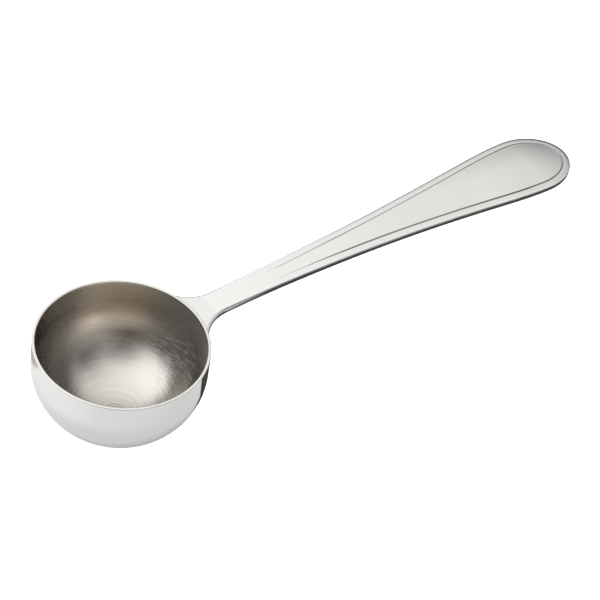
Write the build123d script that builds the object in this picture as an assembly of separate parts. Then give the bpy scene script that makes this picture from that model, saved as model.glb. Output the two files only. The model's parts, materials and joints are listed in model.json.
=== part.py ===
from build123d import *
import math
import os

# Long-handled coffee measure in stainless steel: a deep drawn bowl, a coined handle and the weld
# bead that joins them. Lengths are in millimetres, angles in degrees.
# Everything is first modelled with the rim level: the bowl's axis is Z, the rim's top lies at
# height 0 and the handle runs along +X. The finished spoon is then laid down as it rests on a
# table, on the round of its bowl and the end of its handle, with +X towards the handle's end.

# Bowl
BOWL_INNER_RADIUS = 22.0
BOWL_WALL = 0.8
STRAIGHT_WALL_HEIGHT = 7.3
BOTTOM_ROUND = 19.0
RIM_ROUND = 0.2

# Weld bead between the bowl's wall and the handle's root
BEAD_WIDTH = 2.4
BEAD_LEG = 2.6
BEAD_REACH_SHARE = 0.84

# Handle
HANDLE_REACH = 155.1
HANDLE_THICKNESS = 1.7
HANDLE_RISE = 1.3
NECK_WIDTH = 7.4
NECK_ROUND = 11.0
END_WIDTH = 21.8
END_ROUND_LENGTH = 14.8

# Flank of the handle between its neck and its widest place: share of the distance from neck to
# widest place, and share of the growth in half-width that is reached there
FLANK_SHARES = (
    (0.13, 0.020),
    (0.27, 0.100),
    (0.45, 0.250),
    (0.63, 0.475),
    (0.81, 0.765),
)

# Border round the handle's raised panel: it lies lower than the panel, with a narrow groove
# between them, and both fade out towards the neck. Depths are below the panel.
BORDER_WIDTH = 2.1
BORDER_DROP = 0.2
GROOVE_WIDTH = 0.55
GROOVE_DEPTH = 0.3
GROOVE_START = 37.0
GROOVE_FULL_SHARE = 0.35

# Low crown on the panel's wide end
CROWN_RADIUS = 190.0
CROWN_HEIGHT = 0.3
CROWN_PLACE_SHARE = 0.84

# How far cutting shapes run past what they cut
OVERRUN = 1.0

BOWL_OUTER_RADIUS = BOWL_INNER_RADIUS + BOWL_WALL
BASE_FLAT_RADIUS = BOWL_OUTER_RADIUS - BOTTOM_ROUND
BOWL_DEPTH = STRAIGHT_WALL_HEIGHT + BOTTOM_ROUND
BEAD_RADIUS = BOWL_OUTER_RADIUS + BEAD_WIDTH
ARCH_LENGTH = HANDLE_REACH - BEAD_RADIUS
ARCH_RADIUS = (ARCH_LENGTH**2 / 4 + HANDLE_RISE**2) / (2 * HANDLE_RISE)
ARCH_MIDDLE = BEAD_RADIUS + ARCH_LENGTH / 2


def arch_height(x, drop=0):
    """Height of the handle's arched top face above the rim, or of a face that lies below it."""
    radius = ARCH_RADIUS - drop
    return HANDLE_RISE - ARCH_RADIUS + math.sqrt(radius**2 - (x - ARCH_MIDDLE) ** 2)


def cup_profile(radius, wall_height, bottom_round):
    """Half section of a cup: a straight wall, one large round and a flat bottom."""
    with BuildLine() as half:
        Line((0, 0), (radius, 0))
        Line((radius, 0), (radius, -wall_height))
        JernArc((radius, -wall_height), (0, -1), bottom_round, -90)
        Line(half.line @ 1, (0, -wall_height - bottom_round))
        Line((0, -wall_height - bottom_round), (0, 0))
    return make_face(Plane.XZ * half.line)


def bowl():
    """Drawn cup with a wall of even thickness and a softly rounded rim."""
    outside = cup_profile(BOWL_OUTER_RADIUS, STRAIGHT_WALL_HEIGHT, BOTTOM_ROUND)
    inside = cup_profile(BOWL_INNER_RADIUS, STRAIGHT_WALL_HEIGHT, BOTTOM_ROUND - BOWL_WALL)
    cup = revolve(outside, Axis.Z) - revolve(inside, Axis.Z)
    rim_edges = cup.edges().filter_by(GeomType.CIRCLE).group_by(Axis.Z)[-1]
    return fillet(rim_edges, RIM_ROUND)


def flare_center():
    """Centre of the round that leads the handle's flank into the bowl's wall."""
    across = NECK_WIDTH / 2 + NECK_ROUND
    along = math.sqrt((BOWL_OUTER_RADIUS + NECK_ROUND) ** 2 - across**2)
    return along, across


def flank_points(start, inset):
    """Points of the flank from the neck to the widest place, moved in by an inset."""
    widest = HANDLE_REACH - END_ROUND_LENGTH
    neck = NECK_WIDTH / 2 - inset
    growth = (END_WIDTH - NECK_WIDTH) / 2
    points = [(start, neck)]
    for place_share, width_share in FLANK_SHARES:
        place = flare_center()[0] + place_share * (widest - flare_center()[0])
        if place > start:
            points.append((place, neck + width_share * growth))
    points.append((widest, neck + growth))
    return points


def outline(half):
    """Closed plan outline from its upper half."""
    return make_face(half.edges() + mirror(half, Plane.XZ).edges())


def handle_plan():
    """Plan of the handle with the flare that meets the bowl's wall."""
    along, across = flare_center()
    touch_share = BOWL_OUTER_RADIUS / (BOWL_OUTER_RADIUS + NECK_ROUND)
    touch = (along * touch_share, across * touch_share)
    with BuildLine() as half:
        Line((touch[0], 0), touch)
        TangentArc(touch, (along, NECK_WIDTH / 2), tangent=(across, -along))
        Spline(*flank_points(along, 0), tangents=((1, 0), (1, 0)))
        EllipticalCenterArc((HANDLE_REACH - END_ROUND_LENGTH, 0), END_ROUND_LENGTH, END_WIDTH / 2)
    return outline(half.line)


def panel_plan(inset):
    """Plan of the handle's panel, an inset inside the handle's edge."""
    with BuildLine() as half:
        Line((GROOVE_START, 0), (GROOVE_START, NECK_WIDTH / 2 - inset))
        Spline(*flank_points(GROOVE_START, inset), tangents=((1, 0), (1, 0)))
        EllipticalCenterArc(
            (HANDLE_REACH - END_ROUND_LENGTH, 0),
            END_ROUND_LENGTH - inset,
            END_WIDTH / 2 - inset,
        )
    return outline(half.line)


def column(plan):
    """Upright prism over a plan, tall enough to pass through the handle and the bead."""
    low = HANDLE_THICKNESS + BEAD_LEG + OVERRUN
    high = HANDLE_RISE + OVERRUN
    return extrude(Pos(0, 0, -low) * plan, low + high, dir=(0, 0, 1))


def arched_plate():
    """Arched plate as long as the handle and wider than it."""
    start = BOWL_INNER_RADIUS
    end = HANDLE_REACH + OVERRUN
    ends = (start, ARCH_MIDDLE, end)
    top = [(x, arch_height(x)) for x in ends]
    bottom = [(x, arch_height(x, HANDLE_THICKNESS)) for x in ends]
    with BuildLine() as side:
        ThreePointArc(*top)
        Line(top[-1], bottom[-1])
        ThreePointArc(*reversed(bottom))
        Line(bottom[0], top[0])
    return extrude(make_face(Plane.XZ * side.line), END_WIDTH, both=True)


def top_layer(depth):
    """Layer over the handle down to a floor below its face, which sinks slowly from the neck."""
    full = GROOVE_START + GROOVE_FULL_SHARE * (HANDLE_REACH - GROOVE_START)
    end = HANDLE_REACH + OVERRUN
    middle = (full + end) / 2
    high = HANDLE_RISE + OVERRUN
    floor = [(x, arch_height(x, depth)) for x in (full, middle, end)]
    with BuildLine() as side:
        Line((GROOVE_START, high), (GROOVE_START, arch_height(GROOVE_START)))
        Line((GROOVE_START, arch_height(GROOVE_START)), floor[0])
        ThreePointArc(*floor)
        Line(floor[-1], (end, high))
        Line((end, high), (GROOVE_START, high))
    return extrude(make_face(Plane.XZ * side.line), END_WIDTH, both=True)


def crown(panel):
    """Low crown over the panel's wide end: the top of a large ball, square to the arch there."""
    place = GROOVE_START + CROWN_PLACE_SHARE * (HANDLE_REACH - GROOVE_START)
    lean = math.asin((place - ARCH_MIDDLE) / ARCH_RADIUS)
    depth = ARCH_RADIUS + CROWN_HEIGHT - CROWN_RADIUS
    across = ARCH_MIDDLE + depth * math.sin(lean)
    up = HANDLE_RISE - ARCH_RADIUS + depth * math.cos(lean)
    ball = Pos(across, 0, up) * Sphere(CROWN_RADIUS)
    return Pos(0, 0, CROWN_HEIGHT) * arched_plate() & panel & ball


def handle():
    """Coined handle: arched plate, raised panel with a grooved border, crown on the wide end."""
    plate = arched_plate() & column(handle_plan())
    plate -= Pos(0, 0, -BOWL_DEPTH) * Cylinder(
        BEAD_RADIUS, 2 * BOWL_DEPTH, align=(Align.CENTER, Align.CENTER, Align.MIN)
    )
    panel = column(panel_plan(BORDER_WIDTH + GROOVE_WIDTH))
    ring = column(panel_plan(BORDER_WIDTH)) - panel
    plate -= top_layer(BORDER_DROP) - panel
    plate -= ring & top_layer(GROOVE_DEPTH)
    return plate + crown(panel)


def weld_bead(bowl_solid, handle_solid):
    """Ground weld bead: fills the gap at the handle's root and rounds into the wall below."""
    low = -HANDLE_THICKNESS - BEAD_LEG
    inner = BOWL_INNER_RADIUS + BOWL_WALL / 2
    with BuildLine() as section:
        Polyline((BEAD_RADIUS, -HANDLE_THICKNESS), (BEAD_RADIUS, 0), (inner, 0), (inner, low))
        Line((inner, low), (BOWL_OUTER_RADIUS, low))
        RadiusArc((BOWL_OUTER_RADIUS, low), (BEAD_RADIUS, -HANDLE_THICKNESS), 2 * BEAD_LEG)
    ring = revolve(make_face(Plane.XZ * section.line), Axis.Z)
    reach = flare_center()[1] * BOWL_OUTER_RADIUS / (BOWL_OUTER_RADIUS + NECK_ROUND)
    limit = Box(
        HANDLE_REACH,
        2 * BEAD_REACH_SHARE * reach,
        2 * BOWL_DEPTH,
        align=(Align.MIN, Align.CENTER, Align.CENTER),
    )
    return (ring & column(handle_plan()) & limit) - bowl_solid - handle_solid


def rest_tilt():
    """Angle by which the handle dips when bowl and handle end both touch the table."""
    along = HANDLE_REACH - BASE_FLAT_RADIUS
    up = STRAIGHT_WALL_HEIGHT - HANDLE_THICKNESS
    return math.degrees(math.asin(BOTTOM_ROUND / math.hypot(along, up)) + math.atan2(up, along))


def main():
    os.makedirs("parts", exist_ok=True)
    bowl_solid = bowl()
    handle_solid = handle()
    pieces = {
        "bowl": bowl_solid,
        "handle": handle_solid,
        "weld_bead": weld_bead(bowl_solid, handle_solid),
    }
    laid = {name: Rot(0, rest_tilt(), 0) * piece for name, piece in pieces.items()}
    boxes = [piece.bounding_box() for piece in laid.values()]
    low, high = min(box.min.X for box in boxes), max(box.max.X for box in boxes)
    to_origin = Pos(-(low + high) / 2, 0, -min(box.min.Z for box in boxes))
    for name, piece in laid.items():
        export_step(to_origin * piece, f"parts/{name}.step")
    print("tilt", rest_tilt(), "length", high - low)
    print("bowl axis meets the rim's height at", (to_origin * Vertex(0, 0, 0)).center())


main()
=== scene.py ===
import json
import math

import bmesh
import bpy
from mathutils import Matrix, Vector
from mathutils.kdtree import KDTree


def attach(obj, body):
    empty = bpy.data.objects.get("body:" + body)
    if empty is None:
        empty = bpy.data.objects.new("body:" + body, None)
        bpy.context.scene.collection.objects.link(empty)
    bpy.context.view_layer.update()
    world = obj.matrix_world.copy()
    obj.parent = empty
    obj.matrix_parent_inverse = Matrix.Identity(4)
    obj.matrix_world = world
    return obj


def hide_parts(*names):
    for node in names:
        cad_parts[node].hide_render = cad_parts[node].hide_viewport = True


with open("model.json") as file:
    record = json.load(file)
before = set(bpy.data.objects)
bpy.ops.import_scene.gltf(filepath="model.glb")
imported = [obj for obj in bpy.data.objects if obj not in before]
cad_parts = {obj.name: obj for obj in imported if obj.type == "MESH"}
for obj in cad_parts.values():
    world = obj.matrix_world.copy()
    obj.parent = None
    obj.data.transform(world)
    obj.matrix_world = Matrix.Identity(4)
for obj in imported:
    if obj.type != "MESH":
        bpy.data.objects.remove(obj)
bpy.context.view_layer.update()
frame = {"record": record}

bl_info = {
    "name": "Coffee Measure",
    "version": (1, 0, 0),
    "blender": (4, 5, 0),
    "location": "3D View > Sidebar > Measure",
    "description": "Builds a long-handled steel coffee measure and the stage that it lies on",
    "category": "Add Mesh",
}

MILLIMETRE = 0.001
MOUTH = next(mount for mount in frame["record"]["mounts"] if mount["name"] == "mouth")

# What each point of a mesh keeps for its finish: its place on the level spoon, and how much
# painted shade darkens it in the groove
LEVEL_PLACE = "level_place"
PAINTED_GROOVE_SHADE = "groove_stain"

# Steps of the bowl's mesh: round its axis, and over the parts of its section
TURN_STEPS = 288
FLAT_STEPS = 5
OUTER_ROUND_STEPS = 56
INNER_ROUND_STEPS = 50
BOTTOM_STEPS = 30
WALL_STEPS = 10
RIM_ROUND_STEPS = 8
RIM_FACE_STEPS = 6

# How the inside's slope falls off towards the axis: at 1 the bottom is part of a sphere
BOTTOM_EASE = 1.28

# Share of the sheet's thickness, from its inside, where the satin gives way to the polish
SATIN_SHARE = 0.75

# Steps of the handle's mesh: along its flank, round its end, over its root and over the weld
FLANK_STEPS = 190
END_STEPS = 64
ROOT_STEPS = 14
WELD_STEPS = 16

# Points of one column over a face of the handle, and over its groove
FACE_STEPS = 46
CUT_STEPS = 16

# Angles in degrees between the points over the plate's upper and lower edges
TOP_EDGE_ANGLE = 10
LOW_EDGE_ANGLE = 18

# Places across the border from its rounded edge to the groove, and down the plate's side
BORDER_SHARES = (0.15, 0.4, 0.7, 0.93)
SIDE_SHARES = (0.1, 0.4, 0.7, 0.95)

# How strongly the points of a root column crowd towards its edge
ROOT_CROWDING = 1.7

# How far before the widest place the columns' ends start to crowd on the spine, and how far
# before it the groove starts to deepen, as shares of the rounded end's length
SPINE_LEAD = 0.2
GROOVE_LEAD = 0.7

# Half the stretch over which the flank's slope is measured
NUDGE = 0.01 * MILLIMETRE

# Flank of the handle between its neck and its widest place: share of the distance from neck to
# widest place, and share of the growth in half-width that is reached there
FLANK_SHARES = (
    (0.0, 0.0),
    (0.13, 0.020),
    (0.27, 0.100),
    (0.45, 0.250),
    (0.63, 0.475),
    (0.81, 0.765),
    (1.0, 1.0),
)

# Where the bowl's finish changes, in metres on the level spoon. Each pair is where a soft step
# starts and where it is full, and two pairs are the two sides of a band. Across means towards the
# side by the handle, and deep means below the rim.
RIM_TOP = (-0.0004, -0.0002)
INSIDE_TOP = (-0.0004, -0.0001)
INSIDE_BORDER = (-0.0001, 0.0001)
TURNED_RADII = (0.011, 0.015)
# Heights of the painted warm reflection up the wall
WARM_REFLECTION_HEIGHTS = (-0.020, -0.009)
PALE_ACROSS = (0.003, 0.013)
MATTE_ACROSS = (0.003, 0.019)
MATTE_HEIGHTS = (-0.017, -0.005)
# Where the painted highlight lies, low inside by the handle
HIGHLIGHT_ACROSS = ((0.0106, 0.0134), (0.0145, 0.0175))
HIGHLIGHT_DEEP = (0.0150, 0.0185)
# Where the painted dark reflection lies, on the wall away from the handle
DARK_REFLECTION_ACROSS = (0.0070, 0.0155)
# Place of the scuffs and their painted glints
SCUFF_GLINT_X = (0.010, 0.015)
SCUFF_GLINT_Y = (0.006, 0.012)
SCUFF_GLINT_DEEP = ((0.007, 0.012), (0.017, 0.021))

# Where the handle's finish changes: the ground part ends between these distances from the bowl's
# axis, and the handle is polished best between these places along it
GROUND_RADII = (0.0262, 0.0290)
POLISHED_X = ((0.085, 0.135), (0.140, 0.150))

# How high the marks of each finish stand where their value is 1, in metres
SATIN_RELIEF = 0.00002
POLISH_RELIEF = 0.0000012

# The studio's sky: its even light, and soft patches given by azimuth and elevation of their
# middle, outer and inner angle, all in degrees, and the light that each adds or takes
SKY_LEVEL = 0.42
SKY_TONE = (1.0, 0.99, 0.97)
SKY_PATCHES = (
    (98.0, 61.0, 76.0, 22.0, 1.36),
    (140.0, 58.0, 45.0, 15.0, 0.26),
    (-88.0, 50.0, 32.0, 8.0, 0.28),
    (-18.0, 22.0, 42.0, 12.0, 0.46),
    (-120.0, 56.0, 24.0, 6.0, -0.34),
    (-62.0, 32.0, 28.0, 8.0, -0.20),
    (-8.0, 8.0, 20.0, 6.0, 0.35),
)

# Level direction of the sky's dark side, and how near to it and how low the sky is dark
DARK_SIDE = (0.643, 0.766)
DARK_NEAR = (0.74, 0.93)
DARK_LOW = (0.17, 0.53)

FLOOR_ROUGHNESS = 0.9
FLOOR_GLOW = 1.2

# The grey card over the floor, in metres on the table: two corners, its height, and where its
# shades change round the bowl's foot, at its left, under the handle and behind the bowl
CARD_CORNERS = ((-0.16, -0.08), (0.13, 0.11))
CARD_HEIGHT = 0.0002
BOWL_FOOT = (-0.062, 0.002)
FOOT_RADII = ((0.014, 0.032), (0.030, 0.055))
CARD_LEFT = (0.080, 0.112)
HANDLE_SHADE_Y = (-0.0190, -0.0185)
HANDLE_SHADE_X = (-0.052, -0.047)
HANDLE_DARK_X = (-0.022, -0.010)
BEHIND_Y = ((0.031, 0.034), (0.043, 0.047))
BEHIND_X = (-0.070, -0.055)


# Sizes and colours that a user would change


def length(name, description, default):
    """A length property, kept in metres and given here in millimetres."""
    return bpy.props.FloatProperty(
        name=name,
        description=description,
        default=default * MILLIMETRE,
        min=0.0,
        precision=5,
        unit="LENGTH",
        subtype="DISTANCE",
    )


def share(name, description, default):
    """A factor between nothing and all."""
    return bpy.props.FloatProperty(
        name=name,
        description=description,
        default=default,
        min=0.0,
        max=1.0,
        subtype="FACTOR",
    )


def colour(name, description, default):
    """A colour without alpha."""
    return bpy.props.FloatVectorProperty(
        name=name,
        description=description,
        default=default,
        size=3,
        min=0.0,
        max=1.0,
        subtype="COLOR",
    )


class MeasureBowlSizes(bpy.types.PropertyGroup):
    """Sizes of the drawn bowl."""

    inner_radius: length(
        "Inner radius", "Radius of the straight wall's inside", MOUTH["dims"]["r_mm"]
    )
    wall: length("Wall", "Thickness of the sheet", 0.8)
    straight_wall: length("Straight wall", "Height of the straight wall from rim to round", 7.3)
    bottom_round: length("Bottom round", "Outer radius of the round below the straight wall", 19.0)
    even_bottom: length("Even bottom", "Radius within which the inside eases out", 10.0)
    rim_round: length("Rim round", "Radius of the rim's two edges", 0.2)


class MeasureHandleSizes(bpy.types.PropertyGroup):
    """Sizes of the coined handle and its weld."""

    reach: length("Reach", "From the bowl's axis to the handle's tip", 155.1)
    thickness: length("Thickness", "Thickness of the plate at its panel", 1.7)
    rise: length("Rise", "How far the arch rises over its two ends", 1.3)
    neck_width: length("Neck width", "Width at the waist", 7.4)
    neck_round: length("Neck round", "Radius that leads the flank into the bowl's wall", 11.0)
    end_width: length("End width", "Width at the widest place", 21.8)
    end_round: length("End round", "Length of the rounded end", 14.8)
    border: length("Border", "Width of the border outside the groove", 2.1)
    border_drop: length("Border drop", "How far the border lies below the panel", 0.2)
    border_slope: length("Border slope", "How much lower the border's outer edge lies", 0.2)
    groove_width: length("Groove width", "From the border to the panel's face", 0.66)
    groove_floor: length("Groove floor", "From the border to the deepest line of the groove", 0.18)
    groove_depth: length("Groove depth", "Depth of the groove below the panel", 0.39)
    groove_end: length("Groove end", "How much deeper the groove is round the wide end", 0.22)
    groove_start: length("Groove start", "From the bowl's axis to where the groove begins", 37.0)
    groove_full: length("Groove full", "From the bowl's axis to where it is fully deep", 90.0)
    crown: length("Crown", "Height of the crown on the wide end", 0.3)
    edge_round: length("Edge round", "Radius of the plate's upper edges", 0.28)
    low_round: length("Low round", "Radius of the plate's lower edges", 0.12)
    root_round: length("Root round", "Radius of the top edge where the root is ground", 0.9)
    bead_width: length("Bead width", "Width of the weld between wall and handle", 2.4)
    bead_leg: length("Bead leg", "How far the weld runs down the wall", 2.6)


class MeasureFinish(bpy.types.PropertyGroup):
    """Colours and polish of the steel."""

    polished: colour("Polished", "Mirror-polished steel", (0.605, 0.601, 0.60))
    rim: colour("Rim", "Top of the bowl's rim", (0.52, 0.51, 0.495))
    satin: colour("Satin", "High spots of the spun inside", (0.475, 0.46, 0.435))
    satin_low: colour("Satin, low", "Low spots of the spun inside", (0.425, 0.405, 0.378))
    # Painted warm reflection on the inside up the wall
    painted_warm_reflection: colour("Warm satin", "Inside up the wall", (0.54, 0.462, 0.362))
    pale: colour("Pale satin", "Inside by the handle", (0.535, 0.515, 0.495))
    # Painted highlight low inside by the handle
    painted_highlight: colour("Worn satin", "Low inside by the handle, worn bright", (0.82, 0.80, 0.765))
    # Painted dark reflection on the inside away from the handle
    painted_dark_reflection: colour("Tarnish", "Inside away from the handle", (0.25, 0.235, 0.215))
    # Painted glints on the scuffs and scratches inside
    scuff_glint: colour("Scuffs", "Scuffs and scratches inside", (0.85, 0.84, 0.82))
    haze: colour("Haze", "Hazy spots of the handle", (0.58, 0.576, 0.568))
    dull: colour("Dull", "Handle where it is polished less", (0.552, 0.550, 0.548))
    # Painted shade: the dark colour laid into the groove where it lies in shade
    painted_shade: colour("Stain", "Dark polish left in the groove", (0.17, 0.165, 0.155))
    ground: colour("Ground", "Ground weld and root", (0.60, 0.60, 0.60))
    mirror_roughness: share("Mirror roughness", "Roughness of the bowl's outside", 0.05)
    handle_roughness: share("Handle roughness", "Roughness of the handle's faces", 0.12)
    satin_roughness: share("Satin roughness", "Roughness of the spun inside", 0.25)


class MeasureStage(bpy.types.PropertyGroup):
    """Camera, floor and light."""

    azimuth: bpy.props.FloatProperty(
        name="Camera azimuth",
        description="Direction from the object to the camera, from +X",
        default=math.radians(-127.447),
        subtype="ANGLE",
    )
    elevation: bpy.props.FloatProperty(
        name="Camera elevation",
        description="Height of the camera over the horizon",
        default=math.radians(50.425),
        subtype="ANGLE",
    )
    distance: length("Camera distance", "From the camera to the place it aims at", 558.20)
    roll: bpy.props.FloatProperty(
        name="Camera roll",
        description="Turn of the camera round its line of sight",
        default=math.radians(0.306),
        subtype="ANGLE",
    )
    aim_x: bpy.props.FloatProperty(
        name="Aim X",
        description="Place on the table that the camera aims at",
        default=-6.570 * MILLIMETRE,
        unit="LENGTH",
    )
    aim_y: bpy.props.FloatProperty(
        name="Aim Y",
        description="Place on the table that the camera aims at",
        default=1.640 * MILLIMETRE,
        unit="LENGTH",
    )
    lens: bpy.props.FloatProperty(
        name="Lens",
        description="Focal length in millimetres",
        default=121.8,
        unit="CAMERA",
    )
    floor_size: length("Floor size", "Side of the floor", 6000.0)
    floor_colour: colour("Floor", "Colour of the pale floor", (0.45, 0.45, 0.45))


# Placement of the level spoon in the shared frame
#
# Every piece is made on the level spoon: the bowl's axis is Z, the rim's top lies at height 0 and
# the handle runs along +X. Then it is laid down as the frame has it.


def placement():
    """Turns the level spoon, with the rim's middle at its origin, to how it lies on the table."""
    up = Vector(MOUTH["axis"]).normalized()
    along = Vector((up.z, 0.0, -up.x))
    side = up.cross(along)
    # The mouth's place is the middle of its length, which ends where the straight wall does
    half_mouth = MOUTH["dims"]["length_mm"] * MILLIMETRE / 2
    drop = bpy.context.scene.measure_bowl.straight_wall - half_mouth
    middle = Vector(MOUTH["pos_m"]) + drop * up
    turn = Matrix((along, side, up)).transposed().to_4x4()
    return Matrix.Translation(middle) @ turn


def piece_from_grid(name, rows, material, loop=False, painted_shades=()):
    """A smooth mesh piece from rows of equally many points; points that coincide are joined."""
    mesh = bpy.data.meshes.new(name)
    count = len(rows[0])
    points = [point for row in rows for point in row]
    faces = []
    steps = len(rows) if loop else len(rows) - 1
    for row in range(steps):
        here = row * count
        there = (row + 1) % len(rows) * count
        for step in range(count - 1):
            faces.append((here + step, here + step + 1, there + step + 1, there + step))
    mesh.from_pydata(points, [], faces)
    shape = bmesh.new()
    shape.from_mesh(mesh)
    bmesh.ops.remove_doubles(shape, verts=shape.verts, dist=1e-7)
    bmesh.ops.dissolve_degenerate(shape, edges=shape.edges, dist=1e-8)
    open_edges = [edge for edge in shape.edges if edge.is_boundary]
    if open_edges:
        bmesh.ops.holes_fill(shape, edges=open_edges, sides=0)
    bmesh.ops.recalc_face_normals(shape, faces=shape.faces)
    shape.to_mesh(mesh)
    shape.free()
    mesh.shade_smooth()
    mesh.set_sharp_from_angle(angle=math.radians(38.0))
    # Painted shade of the groove, kept on the points
    if painted_shades:
        keep_painted_shades(mesh, painted_shades)
    lay_down(mesh)
    piece = bpy.data.objects.new(name, mesh)
    bpy.context.scene.collection.objects.link(piece)
    mesh.materials.append(material)
    return piece


def keep_painted_shades(mesh, painted_shades):
    """Keeps on each point of the mesh the painted shade of the nearest of the given places."""
    tree = KDTree(len(painted_shades))
    for index, (place, _) in enumerate(painted_shades):
        tree.insert(place, index)
    tree.balance()
    nearest = [tree.find(vertex.co)[1] for vertex in mesh.vertices]
    kept = mesh.attributes.new(PAINTED_GROOVE_SHADE, "FLOAT", "POINT")
    kept.data.foreach_set("value", [painted_shades[index][1] for index in nearest])


def lay_down(mesh):
    """Keeps each point's place on the level spoon for the finish, then lays the mesh down."""
    level = mesh.attributes.new(LEVEL_PLACE, "FLOAT_VECTOR", "POINT")
    level.data.foreach_set("vector", [part for vertex in mesh.vertices for part in vertex.co])
    mesh.transform(placement())


def dressed(piece, node):
    """The piece rides on the spoon and stands for its node, which is hidden."""
    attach(piece, "root")
    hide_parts(node)


def arc(center, radius, first, last, steps):
    """Points of an arc in a half section, from the first to the last angle in degrees."""
    angles = [math.radians(first + (last - first) * step / steps) for step in range(steps + 1)]
    return [(center[0] + radius * math.cos(a), center[1] + radius * math.sin(a)) for a in angles]


def run(start, end, steps):
    """Points of a straight run without its ends, closer together towards both ends."""
    shares = [0.5 - 0.5 * math.cos(math.pi * step / steps) for step in range(1, steps)]
    return [
        (start[0] + (end[0] - start[0]) * part, start[1] + (end[1] - start[1]) * part)
        for part in shares
    ]


# Shader maths


class Socket:
    """A value in a node tree: an expression on it adds Math nodes."""

    def __init__(self, tree, link):
        self.tree = tree
        self.link = link

    def maths(self, operation, *values):
        """One Math node on the values."""
        return self.tree.add("ShaderNodeMath", {"operation": operation}, values)

    def __add__(self, other):
        return self.maths("ADD", self, other)

    def __radd__(self, other):
        return self.maths("ADD", other, self)

    def __sub__(self, other):
        return self.maths("SUBTRACT", self, other)

    def __rsub__(self, other):
        return self.maths("SUBTRACT", other, self)

    def __mul__(self, other):
        return self.maths("MULTIPLY", self, other)

    def __rmul__(self, other):
        return self.maths("MULTIPLY", other, self)

    def __pow__(self, other):
        return self.maths("POWER", self, other)

    def least(self, other):
        """The smaller of two values."""
        return self.maths("MINIMUM", self, other)

    def most(self, other):
        """The larger of two values."""
        return self.maths("MAXIMUM", self, other)

    def smooth(self, low, high):
        """A soft step from nothing at low to all at high."""
        settings = {"interpolation_type": "SMOOTHSTEP"}
        values = {0: self, 1: low, 2: high, 3: 0.0, 4: 1.0}
        return self.tree.add("ShaderNodeMapRange", settings, values)

    def band(self, start, end):
        """All between two soft steps, each a pair of low and high, and nothing outside them."""
        return self.smooth(*start) * (1.0 - self.smooth(*end))


class Tree:
    """Nodes of one material or of the world."""

    def __init__(self, owner):
        owner.use_nodes = True
        self.nodes = owner.node_tree.nodes
        self.links = owner.node_tree.links
        self.nodes.clear()

    def add(self, kind, settings=None, values=(), output=0):
        """One node with its settings first, then the values or links of its sockets."""
        node = self.nodes.new(kind)
        for name, setting in (settings or {}).items():
            setattr(node, name, setting)
        pairs = values.items() if isinstance(values, dict) else enumerate(values)
        for place, value in pairs:
            if isinstance(value, Socket):
                self.links.new(value.link, node.inputs[place])
            else:
                node.inputs[place].default_value = value
        return Socket(self, node.outputs[output]) if node.outputs else None

    def parts(self, place):
        """The three values of a vector."""
        return [self.add("ShaderNodeSeparateXYZ", values=[place], output=n) for n in range(3)]

    def level_place(self):
        """The place on the level spoon as three values in metres."""
        settings = {"attribute_name": LEVEL_PLACE}
        return self.parts(self.add("ShaderNodeAttribute", settings, output=1))

    def vector(self, x, y, z):
        """A vector of three values."""
        return self.add("ShaderNodeCombineXYZ", values=[x, y, z])

    def noise(self, x, y, z, detail=2.0):
        """Soft noise between about 0 and 1, with about one swell per unit of each value."""
        values = {"Vector": self.vector(x, y, z), "Scale": 1.0, "Detail": detail}
        return self.add("ShaderNodeTexNoise", values=values)

    def mix(self, factor, first, second):
        """A colour between two colours."""
        values = {"Factor": factor, 6: opaque(first), 7: opaque(second)}
        return self.add("ShaderNodeMix", {"data_type": "RGBA"}, values, output=2)

    def scaled(self, tone, level):
        """A colour made lighter or darker by a level."""
        return self.add("ShaderNodeVectorMath", {"operation": "SCALE"}, {0: tone, "Scale": level})

    def bump(self, height, distance):
        """A normal from a height between 0 and 1 over a distance in metres."""
        return self.add("ShaderNodeBump", values={"Distance": distance, "Height": height})


def opaque(value):
    """A colour with full alpha, or a link as it is."""
    return value if isinstance(value, Socket) else (*value[:3], 1.0)


def steel(name, build):
    """A metal material; build adds what varies and returns the values of the shader's sockets."""
    material = bpy.data.materials.new(name)
    tree = Tree(material)
    values = {"Metallic": 1.0, **build(tree)}
    shader = tree.add("ShaderNodeBsdfPrincipled", values=values)
    tree.add("ShaderNodeOutputMaterial", values={"Surface": shader})
    return material


def inside_of_bowl(radius, z):
    """Mask of the sheet's inside below the rim."""
    sizes = bpy.context.scene.measure_bowl
    flat = sizes.inner_radius + sizes.wall - sizes.bottom_round
    reach = (radius - flat).most(0.0)
    drop = (z + sizes.straight_wall).least(0.0)
    # This is the inner radius all over the sheet's inside and the outer one all over its outside,
    # apart from the eased bottom, which lies in between
    out = (reach * reach + drop * drop) ** 0.5 + flat
    between = sizes.inner_radius + sizes.wall * SATIN_SHARE
    inside = 1.0 - (out - between).smooth(*INSIDE_BORDER)
    return inside * (1.0 - z.smooth(*INSIDE_TOP))


def painted_glints_on_scuffs(tree, x, y, z, along):
    """Short marks along the rings, on the side by the handle: scuffs, made bright as painted
    glints.
    """
    glint_region = x.smooth(*SCUFF_GLINT_X) * (1.0 - y.smooth(*SCUFF_GLINT_Y))
    glint_region = glint_region * (0.0 - z).band(*SCUFF_GLINT_DEEP)
    marks = tree.noise(along * 3200.0 + y * 700.0, x * 260.0, y * 260.0, detail=1.0)
    return marks.smooth(0.58, 0.66) * glint_region


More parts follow.
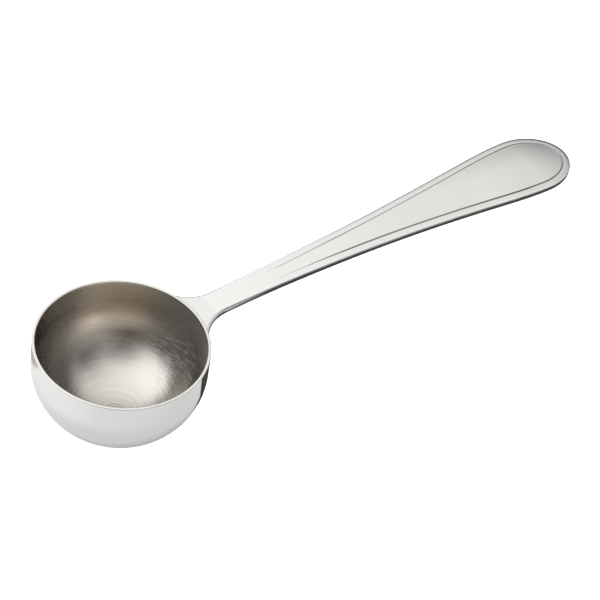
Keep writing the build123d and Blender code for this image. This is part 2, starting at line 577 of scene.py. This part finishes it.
def satin_tint(tree, z, across, bright, patches):
    """Colour of the spun inside: a painted warm reflection up the wall, pale and with a painted
    highlight by the handle, else a painted dark reflection.
    """
    finish = bpy.context.scene.measure_finish
    tint = tree.mix(bright, finish.satin_low, finish.satin)
    pale = across.smooth(*PALE_ACROSS)
    # Painted warm reflection up the wall
    tint = tree.mix(z.smooth(*WARM_REFLECTION_HEIGHTS) * (1.0 - pale) * 0.7, tint, finish.painted_warm_reflection)
    tint = tree.mix(pale * 0.75, tint, finish.pale)
    # Painted highlight: a bright band low inside by the handle
    painted_highlight = across.band(*HIGHLIGHT_ACROSS) * (0.0 - z).smooth(*HIGHLIGHT_DEEP)
    tint = tree.mix(painted_highlight * 0.8, tint, finish.painted_highlight)
    # Painted dark reflection: the wall away from the handle is darkened
    painted_dark_reflection = ((patches - 0.5) * 0.003 - across).smooth(*DARK_REFLECTION_ACROSS)
    return tree.mix(painted_dark_reflection * 0.88, tint, finish.painted_dark_reflection)


def bowl_finish(tree):
    """Mirror-polished outside and satin spun inside with rings and fine scratches, and with
    painted reflections, a painted highlight and painted glints.
    """
    finish = bpy.context.scene.measure_finish
    x, y, z = tree.level_place()
    radius = (x * x + y * y) ** 0.5
    inside = inside_of_bowl(radius, z)
    # Marks of spinning change fast along the section and slowly round the axis
    along = radius + z
    rings = tree.noise(along * 1900.0, x * 22.0, y * 22.0, detail=3.0)
    broad = tree.noise(along * 420.0, x * 14.0 + 3.0, y * 14.0, detail=1.0)
    circles = tree.noise(along * 1000.0, 0.5, 0.5, detail=3.0)
    turned = tree.noise(radius * 1500.0, 0.5, 0.5, detail=2.0)
    turned = turned * (1.0 - radius.smooth(*TURNED_RADII))
    # Fine scratches, also lightened as painted glints
    glinting_scratches = tree.noise(along * 5200.0, x * 160.0, y * 160.0 + 7.0, detail=1.0)
    glinting_scratches = glinting_scratches.smooth(0.62, 0.74)
    patches = tree.noise(x * 90.0, y * 90.0, z * 90.0, detail=2.0)
    scuff_glints = painted_glints_on_scuffs(tree, x, y, z, along)
    across = x * 0.8 - y * 0.6
    bright = (rings * 0.35 + patches * 0.3 + circles * 0.35).smooth(0.3, 0.7)
    tint = satin_tint(tree, z, across, bright, patches)
    # Painted glints: the scuffs and scratches are lightened towards a bright colour
    tint = tree.mix(scuff_glints * 0.7 + glinting_scratches * 0.15, tint, finish.scuff_glint)
    rim = z.smooth(*RIM_TOP)
    rough = finish.satin_roughness + (rings - 0.5) * 0.16 + (patches - 0.5) * 0.12
    rough = rough + scuff_glints * 0.2
    rough = rough + across.smooth(*MATTE_ACROSS) * z.smooth(*MATTE_HEIGHTS) * 0.21
    polish = finish.mirror_roughness + (patches - 0.5) * 0.02 + rim * 0.12
    height = rings * 0.35 + broad * 0.25 + glinting_scratches * 0.2 + circles * 0.8 + turned * 1.6
    return {
        "Base Color": tree.mix(inside, tree.mix(rim, finish.polished, finish.rim), tint),
        "Roughness": rough * inside + polish * (1.0 - inside),
        "Normal": tree.bump(height * inside, SATIN_RELIEF),
    }


def handle_finish(tree):
    """Polished with fine lengthwise lines and haze, with painted shade in the groove, ground at
    the root.
    """
    finish = bpy.context.scene.measure_finish
    x, y, z = tree.level_place()
    lines = tree.noise(x * 25.0, y * 2600.0, z * 900.0, detail=2.0)
    haze = tree.noise(x * 70.0, y * 110.0, z * 70.0, detail=2.0)
    painted_shade = tree.add("ShaderNodeAttribute", {"attribute_name": PAINTED_GROOVE_SHADE}, output=2)
    ground = 1.0 - ((x * x + y * y) ** 0.5).smooth(*GROUND_RADII)
    rough = finish.handle_roughness + (lines - 0.5) * 0.05 + (haze - 0.5) * 0.05 + ground * 0.3
    tint = tree.mix(haze.smooth(0.3, 0.7), finish.haze, finish.polished)
    # Painted shade darkens the groove
    tint = tree.mix(painted_shade * 0.75, tint, finish.painted_shade)
    tint = tree.mix(1.0 - x.band(*POLISHED_X), tint, finish.dull)
    return {
        "Base Color": tree.mix(ground, tint, finish.ground),
        "Roughness": rough,
        "Normal": tree.bump(lines, POLISH_RELIEF),
    }


# Bowl


def outer_side(sizes, flat):
    """Half section of the outside from the axis to the straight wall: a small flat and a round."""
    bottom = -sizes.straight_wall - sizes.bottom_round
    points = [(0.0, bottom), *run((0.0, bottom), (flat, bottom), FLAT_STEPS)]
    middle = (flat, -sizes.straight_wall)
    return points + arc(middle, sizes.bottom_round, -90.0, 0.0, OUTER_ROUND_STEPS)


def inner_side(sizes, flat):
    """Half section of the inside, whose round eases out towards the axis without a flat."""
    round_radius = sizes.bottom_round - sizes.wall
    lean = (sizes.even_bottom - flat) / round_radius
    start = math.degrees(math.asin(lean)) - 90.0
    middle = (flat, -sizes.straight_wall)
    points = arc(middle, round_radius, start, 0.0, INNER_ROUND_STEPS)
    width = sizes.even_bottom / BOTTOM_STEPS
    for _ in range(BOTTOM_STEPS):
        radius, height = points[0]
        out = (radius - width / 2) / sizes.even_bottom
        height -= width * math.tan(math.asin(lean * out**BOTTOM_EASE))
        points.insert(0, (max(0.0, radius - width), height))
    points[0] = (0.0, points[0][1])
    return points


def bowl_section(sizes):
    """Closed half section of the bowl's sheet, from the axis outside to the axis inside."""
    outer, inner = sizes.inner_radius + sizes.wall, sizes.inner_radius
    flat = outer - sizes.bottom_round
    wall, soft = sizes.straight_wall, sizes.rim_round
    outside = outer_side(sizes, flat)
    outside += run((outer, -wall), (outer, -soft), WALL_STEPS)
    rim = arc((outer - soft, -soft), soft, 0.0, 90.0, RIM_ROUND_STEPS)
    rim += run(rim[-1], (inner + soft, 0.0), RIM_FACE_STEPS)
    rim += arc((inner + soft, -soft), soft, 90.0, 180.0, RIM_ROUND_STEPS)
    inside = inner_side(sizes, flat)
    inside += run((inner, -wall), (inner, -soft), WALL_STEPS)
    return outside + rim + inside[::-1]


class MEASURE_OT_bowl(bpy.types.Operator):
    """Builds the drawn bowl with its rounded rim"""

    bl_idname = "measure.bowl"
    bl_label = "Bowl"

    def execute(self, context):
        section = bowl_section(context.scene.measure_bowl)
        rows = []
        for step in range(TURN_STEPS):
            angle = math.tau * step / TURN_STEPS
            across, along = math.cos(angle), math.sin(angle)
            rows.append([(radius * across, radius * along, height) for radius, height in section])
        material = steel("bowl_steel", bowl_finish)
        dressed(piece_from_grid("spun_bowl", rows, material, loop=True), "bowl")
        return {"FINISHED"}


# Handle and weld


def eased(part):
    """A soft step from nothing to all over parts between nothing and one."""
    part = min(1.0, max(0.0, part))
    return part * part * (3 - 2 * part)


def over_edge(radius, step):
    """Distances in from the outline of points over a rounded edge, one per step in degrees."""
    return [radius * (1 - math.cos(math.radians(angle))) for angle in range(0, 91, step)]


def root_share(step):
    """How far in from the edge a point of a root column lies, as a share of the column."""
    return (step / (FACE_STEPS - 1)) ** ROOT_CROWDING


def clamped_spline(places, heights):
    """Smooth curve through points, level at both ends, as a function of place."""
    count = len(places)
    gaps = [places[n + 1] - places[n] for n in range(count - 1)]
    rises = [(heights[n + 1] - heights[n]) / gaps[n] for n in range(count - 1)]
    slopes = [0.0] * count
    carry = [0.0] * count
    for n in range(1, count - 1):
        own = 2 * (gaps[n - 1] + gaps[n]) - gaps[n] * carry[n - 1]
        pull = 3 * (gaps[n] * rises[n - 1] + gaps[n - 1] * rises[n])
        carry[n] = gaps[n - 1] / own
        slopes[n] = (pull - gaps[n] * slopes[n - 1]) / own
    for n in range(count - 2, 0, -1):
        slopes[n] -= carry[n] * slopes[n + 1]

    def curve(place):
        n = max(0, min(count - 2, sum(1 for knot in places[1:-1] if place >= knot)))
        part = (place - places[n]) / gaps[n]
        rest = 1 - part
        height = (1 + 2 * part) * rest**2 * heights[n] + part**2 * (3 - 2 * part) * heights[n + 1]
        lean = part * rest**2 * slopes[n] - part**2 * rest * slopes[n + 1]
        return height + gaps[n] * lean

    return curve


class HandleForm:
    """Outline and heights of the handle, worked out from its sizes."""

    def __init__(self, bowl, sizes):
        self.sizes = sizes
        self.bowl_radius = bowl.inner_radius + bowl.wall
        self.sheet_middle = bowl.inner_radius + bowl.wall / 2
        self.seam_radius = self.bowl_radius + sizes.bead_width
        self.arch_length = sizes.reach - self.seam_radius
        self.arch_radius = (self.arch_length**2 / 4 + sizes.rise**2) / (2 * sizes.rise)
        self.arch_middle = self.seam_radius + self.arch_length / 2
        self.neck = sizes.neck_width / 2
        self.flare_across = self.neck + sizes.neck_round
        reach = self.bowl_radius + sizes.neck_round
        self.flare_along = math.sqrt(reach**2 - self.flare_across**2)
        self.widest = sizes.reach - sizes.end_round
        span = self.widest - self.flare_along
        growth = sizes.end_width / 2 - self.neck
        self.painted_shades = []
        self.flank = clamped_spline(
            [self.flare_along + part * span for part, _ in FLANK_SHARES],
            [self.neck + part * growth for _, part in FLANK_SHARES],
        )

    def outline(self):
        """Points and outward directions of the half outline, from the neck to the tip."""
        points = []
        for step in range(FLANK_STEPS):
            x = self.flare_along + (self.widest - self.flare_along) * step / FLANK_STEPS
            before = self.flank(max(x - NUDGE, self.flare_along))
            slope = (self.flank(x + NUDGE) - before) / (2 * NUDGE)
            size = math.hypot(1.0, slope)
            points.append((x, self.flank(x), -slope / size, 1.0 / size))
        along, across = self.sizes.end_round, self.sizes.end_width / 2
        for step in range(END_STEPS + 1):
            angle = math.pi / 2 * (1 - step / END_STEPS)
            forward, aside = math.cos(angle), math.sin(angle)
            out = Vector((forward / along, aside / across)).normalized()
            points.append((self.widest + along * forward, across * aside, out.x, out.y))
        return points

    def arch(self, x):
        """Height of the arched top face."""
        over_middle = math.sqrt(self.arch_radius**2 - (x - self.arch_middle) ** 2)
        return self.sizes.rise - self.arch_radius + over_middle

    def crown(self, x, y):
        """Height that the crown adds to the panel, which grows towards the wide end."""
        inner = self.sizes.border + self.sizes.groove_width
        along, across = 0.0, self.sizes.end_width / 2 - inner
        if x > self.widest:
            along = (x - self.widest) / (self.sizes.end_round - inner)
        else:
            across = self.flank(max(x, self.flare_along)) - inner
        grow = eased((x - self.arch_middle) / (self.widest - self.arch_middle))
        return self.sizes.crown * grow * max(0.0, 1 - along**2 - (y / across) ** 2)

    def relief(self, x, depth_in):
        """How far border and groove lie below the panel, at a distance in from the outline."""
        sizes = self.sizes
        fade = eased((x - sizes.groove_start) / (sizes.groove_full - sizes.groove_start))
        floor = sizes.border + sizes.groove_floor
        wide_end = eased((x - self.widest) / sizes.end_round + GROOVE_LEAD)
        deepest = sizes.groove_depth + sizes.groove_end * wide_end
        if depth_in < sizes.border:
            drop = sizes.border_drop + sizes.border_slope * (1 - depth_in / sizes.border) ** 4
        elif depth_in < floor:
            part = eased((depth_in - sizes.border) / sizes.groove_floor)
            drop = sizes.border_drop + (deepest - sizes.border_drop) * part
        else:
            part = (depth_in - floor) / (sizes.groove_width - sizes.groove_floor)
            drop = deepest * (1 - min(1.0, part)) ** 3
        return fade * drop

    def painted_shade(self, x, depth_in):
        """How much painted shade darkens a place in the groove, which grows towards the wide end.

        The painted shade is full from 0.25 to 0.35 of the groove's width and ends at 0.85 of it.
        """
        part = (depth_in - self.sizes.border) / self.sizes.groove_width
        grow = eased((x - self.arch_middle) / (self.widest - self.arch_middle))
        return grow * eased(4 * part) * (1 - eased(2 * part - 0.7))

    def keep_painted_shade(self, place, painted_shade):
        """Keeps the painted shade of a place and of its mirror image."""
        x, y, z = place
        self.painted_shades += [((x, y, z), painted_shade), ((x, -y, z), painted_shade)]

    def top_round(self, x):
        """Radius of the top edge: large where the root is ground, small further out."""
        fade = (1 - min(1.0, max(0.0, (x - self.seam_radius) / self.seam_radius))) ** 2
        return self.sizes.edge_round + (self.sizes.root_round - self.sizes.edge_round) * fade

    def top_height(self, x, depth_in):
        """Height of the top face at a distance in from the outline."""
        soft = self.top_round(x)
        drop = soft - math.sqrt(soft**2 - max(0.0, soft - depth_in) ** 2)
        return self.arch(x) - drop - self.relief(x, depth_in)

    def low_height(self, x, radius, depth_in):
        """Height of the lower face, which drops along the bowl's wall at the weld."""
        soft = self.sizes.low_round
        lift = soft - math.sqrt(soft**2 - max(0.0, soft - depth_in) ** 2)
        part = min(1.0, max(0.0, (self.seam_radius - radius) / self.sizes.bead_width))
        bead = self.sizes.bead_leg * (1 - math.sqrt(1 - part**2))
        return self.arch(x) - self.sizes.thickness + lift - bead

    def root_column(self, radius, ending=False):
        """Points of one ring round the bowl's axis where the handle flares into the bowl's wall.

        An ending ring has its upper and lower points at one height, which closes the piece.
        """
        away = math.hypot(self.flare_along, self.flare_across)
        reach = max(radius, self.bowl_radius)
        turn = (reach**2 + away**2 - self.sizes.neck_round**2) / (2 * reach * away)
        widest = math.atan2(self.flare_across, self.flare_along) - math.acos(min(1.0, turn))

        def place(part):
            angle = widest * (1 - part)
            x, y = radius * math.cos(angle), radius * math.sin(angle)
            to_flare = math.hypot(x - self.flare_along, y - self.flare_across)
            return x, y, max(0.0, to_flare - self.sizes.neck_round)

        places = [place(root_share(step)) for step in range(FACE_STEPS)]
        top = [(x, y, self.top_height(x, depth_in)) for x, y, depth_in in places]
        low = [(x, y, self.low_height(x, radius, depth_in)) for x, y, depth_in in places]
        if ending:
            middle = [(x, y, (high + low[n][2]) / 2) for n, (x, y, high) in enumerate(top)]
            return self.closed(middle, middle)
        return self.closed(top, low)

    def joined_to_root(self, point, places):
        """Places of a plate column, which near the root are spread like those of a root column."""
        x, y = point[:2]
        part = eased((x - self.flare_along) / self.sizes.neck_round)
        if part == 1.0:
            return places
        mixed = []
        for step, place in enumerate(places):
            share_in = root_share(step)
            root = (x, y * (1 - share_in), y * share_in)
            mixed.append(tuple(a + (b - a) * part for a, b in zip(root, place)))
        return mixed

    def spine_place(self, point):
        """How far out the column of an outline point meets the spine."""
        radius = math.hypot(*point[:2])
        start = self.widest - self.sizes.end_round * SPINE_LEAD
        part = max(0.0, (radius - start) / (self.sizes.reach - start))
        return min(radius, start) + (self.sizes.reach - start) * (part - 0.5 * part**2)

    def face_places(self, point, depths):
        """Places over one face: at the given distances in from the outline, then to the spine."""
        x, y, out_x, out_y = point
        places = [(x - out_x * depth_in, y - out_y * depth_in, depth_in) for depth_in in depths]
        steps = FACE_STEPS - len(places)
        places += self.ring_to_spine(places[-1], self.spine_place(point), steps)
        return self.joined_to_root(point, places)

    def plate_column(self, point):
        """Points across the plate from an outline point, square to the outline, to the spine."""
        border, groove = self.sizes.border, self.sizes.groove_width
        soft = self.top_round(point[0])
        depths = over_edge(soft, TOP_EDGE_ANGLE)
        depths += [soft + (border - soft) * part for part in BORDER_SHARES]
        depths += [border + groove * step / CUT_STEPS for step in range(CUT_STEPS + 1)]
        top, low = [], []
        for x, y, depth_in in self.face_places(point, depths):
            top.append((x, y, self.top_height(x, depth_in) + self.crown(x, y)))
            self.keep_painted_shade(top[-1], self.painted_shade(x, depth_in))
        depths = over_edge(self.sizes.low_round, LOW_EDGE_ANGLE)
        for x, y, depth_in in self.face_places(point, depths):
            low.append((x, y, self.low_height(x, math.hypot(x, y), depth_in)))
            self.keep_painted_shade(low[-1], 0.0)
        return self.closed(top, low)

    @staticmethod
    def ring_to_spine(start, spine, steps):
        """Places from the inner end of a column to the spine, and their distance in."""
        radius, angle = math.hypot(*start[:2]), math.atan2(start[1], start[0])
        places = []
        for step in range(1, steps + 1):
            part = step / steps
            reach = radius + (spine - radius) * part * (2 - part)
            turned = angle * (1 - part)
            inside = start[2] + radius * angle * part
            places.append((reach * math.cos(turned), reach * math.sin(turned), inside))
        return places

    @staticmethod
    def closed(top, low):
        """One column from the spine over the top, down the side and back to the spine below."""
        x, y, high = top[0]
        deep = low[0][2]
        side = [(x, y, high + (deep - high) * part) for part in SIDE_SHARES]
        return top[::-1] + side + low

    @staticmethod
    def shell(columns):
        """Columns of both halves in order: along one side and back along the other."""
        return columns + [[(x, -y, z) for x, y, z in column] for column in columns[::-1]]

    def handle_rows(self):
        """Columns of the handle from its seam with the weld to its tip and back."""
        root = math.hypot(self.flare_along, self.neck)
        columns = [self.root_column(self.seam_radius, ending=True)]
        for step in range(ROOT_STEPS):
            radius = self.seam_radius + (root - self.seam_radius) * step / ROOT_STEPS
            columns.append(self.root_column(radius))
        return self.shell(columns + [self.plate_column(point) for point in self.outline()])

    def weld_rows(self):
        """Columns of the weld from the middle of the bowl's sheet to its seam with the handle."""
        half = [self.root_column(self.sheet_middle, ending=True)]
        half.append(self.root_column(self.sheet_middle))
        for step in range(WELD_STEPS + 1):
            part = (step / WELD_STEPS) ** 2
            radius = self.bowl_radius + (self.seam_radius - self.bowl_radius) * part
            half.append(self.root_column(radius))
        half.append(self.root_column(self.seam_radius, ending=True))
        return [column + [(x, -y, z) for x, y, z in column[::-1]] for column in half]


class MEASURE_OT_handle(bpy.types.Operator):
    """Builds the coined handle with its border groove and crowned end"""

    bl_idname = "measure.handle"
    bl_label = "Handle"

    def execute(self, context):
        form = HandleForm(context.scene.measure_bowl, context.scene.measure_handle)
        material = steel("handle_steel", handle_finish)
        piece = piece_from_grid("coined_handle", form.handle_rows(), material, painted_shades=form.painted_shades)
        dressed(piece, "handle")
        return {"FINISHED"}


class MEASURE_OT_weld(bpy.types.Operator):
    """Builds the ground weld between the bowl's wall and the handle"""

    bl_idname = "measure.weld"
    bl_label = "Weld"

    def execute(self, context):
        form = HandleForm(context.scene.measure_bowl, context.scene.measure_handle)
        material = steel("weld_steel", handle_finish)
        piece = piece_from_grid("ground_weld", form.weld_rows(), material)
        dressed(piece, "weld_bead")
        return {"FINISHED"}


# Stage


def aim(camera, place, roll):
    """Turns the camera so that it looks at a place, with a little roll."""
    turn = (place - camera.location).to_track_quat("-Z", "Y").to_matrix()
    camera.rotation_euler = (turn @ Matrix.Rotation(roll, 3, "Z")).to_euler()


def make_camera(stage):
    """The camera at the photograph's viewing angle."""
    data = bpy.data.cameras.new("camera")
    data.lens = stage.lens
    data.sensor_width = 36.0
    data.clip_start = 0.01
    data.clip_end = 20.0
    camera = bpy.data.objects.new("camera", data)
    place = Vector((stage.aim_x, stage.aim_y, 0.0))
    flat, up = math.cos(stage.elevation), math.sin(stage.elevation)
    away = Vector((flat * math.cos(stage.azimuth), flat * math.sin(stage.azimuth), up))
    camera.location = place + away * stage.distance
    bpy.context.scene.collection.objects.link(camera)
    aim(camera, place, stage.roll)
    bpy.context.scene.camera = camera


def stage_plane(name, start, end, height):
    """A level rectangle of the stage between two corners, and the tree of its material."""
    (left, near), (right, far) = start, end
    mesh = bpy.data.meshes.new(name)
    corners = [(x, y, height) for x, y in ((left, near), (right, near), (right, far), (left, far))]
    mesh.from_pydata(corners, [], [(0, 1, 2, 3)])
    plane = bpy.data.objects.new(name, mesh)
    bpy.context.scene.collection.objects.link(plane)
    material = bpy.data.materials.new(name)
    mesh.materials.append(material)
    return plane, Tree(material)


def make_floor(stage):
    """A plain pale floor that glows a little, so that shadows on it stay soft."""
    half = stage.floor_size / 2
    floor, tree = stage_plane("pale_floor", (-half, -half), (half, half), 0.0)
    values = {
        "Base Color": opaque(stage.floor_colour),
        "Roughness": FLOOR_ROUGHNESS,
        "Emission Color": (1.0, 1.0, 1.0, 1.0),
        "Emission Strength": FLOOR_GLOW,
    }
    shader = tree.add("ShaderNodeBsdfPrincipled", values=values)
    tree.add("ShaderNodeOutputMaterial", values={"Surface": shader})


def make_light():
    """A studio of soft light: brightest high behind the spoon, dark low there, dimmer in front."""
    world = bpy.data.worlds.new("studio")
    bpy.context.scene.world = world
    tree = Tree(world)
    x, y, z = tree.parts(tree.add("ShaderNodeTexCoord", output=0))
    low = 1.0 - z.smooth(*DARK_LOW)
    dark = (x * DARK_SIDE[0] + y * DARK_SIDE[1]).smooth(*DARK_NEAR)
    front = (0.0 - y).smooth(0.2, 0.7) * (1.0 - z.smooth(0.6, 0.75))
    back = y.smooth(0.2, 0.9) * low
    level = SKY_LEVEL + 0.19 * back - 0.12 * front
    for azimuth, elevation, outer, inner, strength in SKY_PATCHES:
        turn, rise = math.radians(azimuth), math.radians(elevation)
        flat = math.cos(rise)
        near = x * (flat * math.cos(turn)) + y * (flat * math.sin(turn)) + z * math.sin(rise)
        patch = near.smooth(math.cos(math.radians(outer)), math.cos(math.radians(inner)))
        level = level + patch * strength
    level = level * (1.0 - 0.88 * dark * low)
    shader = tree.add("ShaderNodeBackground", values={"Color": tree.scaled(SKY_TONE, level)})
    tree.add("ShaderNodeOutputWorld", values={"Surface": shader})


def make_card():
    """A grey card on the table that only the steel mirrors: dark where the spoon shades it."""
    card, tree = stage_plane("grey_card", *CARD_CORNERS, CARD_HEIGHT)
    x, y, _ = tree.parts(tree.add("ShaderNodeTexCoord", output=3))
    off_x, off_y = x - BOWL_FOOT[0], y - BOWL_FOOT[1]
    away = (off_x * off_x + off_y * off_y) ** 0.5
    close, clear = FOOT_RADII
    foot = 0.38 + 0.57 * away.smooth(*close) + 0.17 * away.smooth(*clear)
    left = 0.18 * (y * 0.45 - x * 0.9).smooth(*CARD_LEFT)
    # The shade under the handle starts along a line that bends away at the bowl
    bend = 0.035 * (x + 0.012).least(0.0)
    shade = (y + bend).smooth(*HANDLE_SHADE_Y) * x.smooth(*HANDLE_SHADE_X)
    shade = shade.most(x.smooth(*HANDLE_DARK_X))
    behind = y.band(*BEHIND_Y) * (1.0 - x.smooth(*BEHIND_X))
    level = (foot + left) * (1.0 - 0.92 * shade) * (1.0 - 0.5 * behind)
    shader = tree.add("ShaderNodeEmission", values={"Color": tree.scaled((1.0, 1.0, 1.0), level)})
    tree.add("ShaderNodeOutputMaterial", values={"Surface": shader})
    card.visible_camera = False
    card.visible_diffuse = False
    card.visible_shadow = False


class MEASURE_OT_stage(bpy.types.Operator):
    """Sets the camera, the pale floor and the soft light"""

    bl_idname = "measure.stage"
    bl_label = "Stage"

    def execute(self, context):
        stage = context.scene.measure_stage
        make_camera(stage)
        make_floor(stage)
        make_light()
        make_card()
        context.scene.view_settings.view_transform = "Standard"
        context.scene.view_settings.look = "None"
        return {"FINISHED"}


class MEASURE_PT_panel(bpy.types.Panel):
    """Lists the pieces of the measure and its stage"""

    bl_idname = "MEASURE_PT_panel"
    bl_label = "Coffee Measure"
    bl_space_type = "VIEW_3D"
    bl_region_type = "UI"
    bl_category = "Measure"

    def draw(self, context):
        for operator in OPERATORS:
            self.layout.operator(operator.bl_idname)
        for group in GROUPS:
            box = self.layout.box()
            settings = getattr(context.scene, group)
            for name in settings.bl_rna.properties.keys():
                if name not in ("rna_type", "name"):
                    box.prop(settings, name)


GROUPS = {
    "measure_bowl": MeasureBowlSizes,
    "measure_handle": MeasureHandleSizes,
    "measure_finish": MeasureFinish,
    "measure_stage": MeasureStage,
}
OPERATORS = (MEASURE_OT_bowl, MEASURE_OT_handle, MEASURE_OT_weld, MEASURE_OT_stage)


def register():
    for group_name, group in GROUPS.items():
        bpy.utils.register_class(group)
        setattr(bpy.types.Scene, group_name, bpy.props.PointerProperty(type=group))
    for operator in OPERATORS:
        bpy.utils.register_class(operator)
    bpy.utils.register_class(MEASURE_PT_panel)


def unregister():
    bpy.utils.unregister_class(MEASURE_PT_panel)
    for operator in reversed(OPERATORS):
        bpy.utils.unregister_class(operator)
    for group_name, group in reversed(GROUPS.items()):
        delattr(bpy.types.Scene, group_name)
        bpy.utils.unregister_class(group)


def main():
    register()
    bpy.ops.measure.bowl()
    bpy.ops.measure.handle()
    bpy.ops.measure.weld()
    bpy.ops.measure.stage()


if __name__ == "__main__":
    main()
